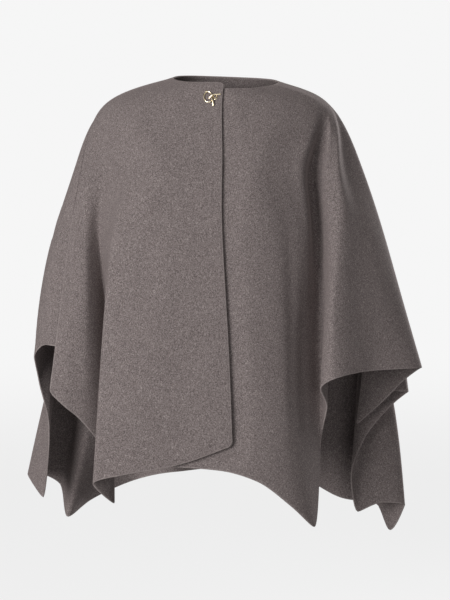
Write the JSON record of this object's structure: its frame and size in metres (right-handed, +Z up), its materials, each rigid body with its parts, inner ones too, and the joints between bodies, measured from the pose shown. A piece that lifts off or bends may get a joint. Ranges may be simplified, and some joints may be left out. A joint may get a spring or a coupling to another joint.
{
  "type": "poncho",
  "caption": "Hip-length round-necked wool poncho, open-fronted and held open as worn, with seams to the elbows, arm slits, a pointed hem and a ring-and-toggle clasp.",
  "frame": {"origin": "middle of the neck opening, level with the inner ends of the shoulder seams, where the wearer's neck and shoulders hold the garment up", "axes": "+Z up, -Y out of the garment's front, +X to the wearer's left"},
  "size_m": [0.6974, 0.3524, 0.8202],
  "materials": {
    "front_right_wool": "brushed double-faced wool, matt",
    "front_left_wool": "brushed double-faced wool, matt",
    "back_wool": "brushed double-faced wool, matt",
    "clasp_ring_gold": "polished pale gold",
    "clasp_ring_stud_gold": "polished pale gold",
    "clasp_toggle_gold": "polished pale gold",
    "clasp_pull_gold": "polished pale gold",
    "clasp_link_gold": "polished pale gold",
    "clasp_post_gold": "polished pale gold"
  },
  "bodies": {
    "root": {"front_right": "front_right_wool", "front_left": "front_left_wool", "back": "back_wool", "clasp_ring": "clasp_ring_gold", "clasp_ring_stud": "clasp_ring_stud_gold", "clasp_toggle": "clasp_toggle_gold", "clasp_pull": "clasp_pull_gold", "clasp_link": "clasp_link_gold", "clasp_post": "clasp_post_gold"}
  },
  "joints": []
}
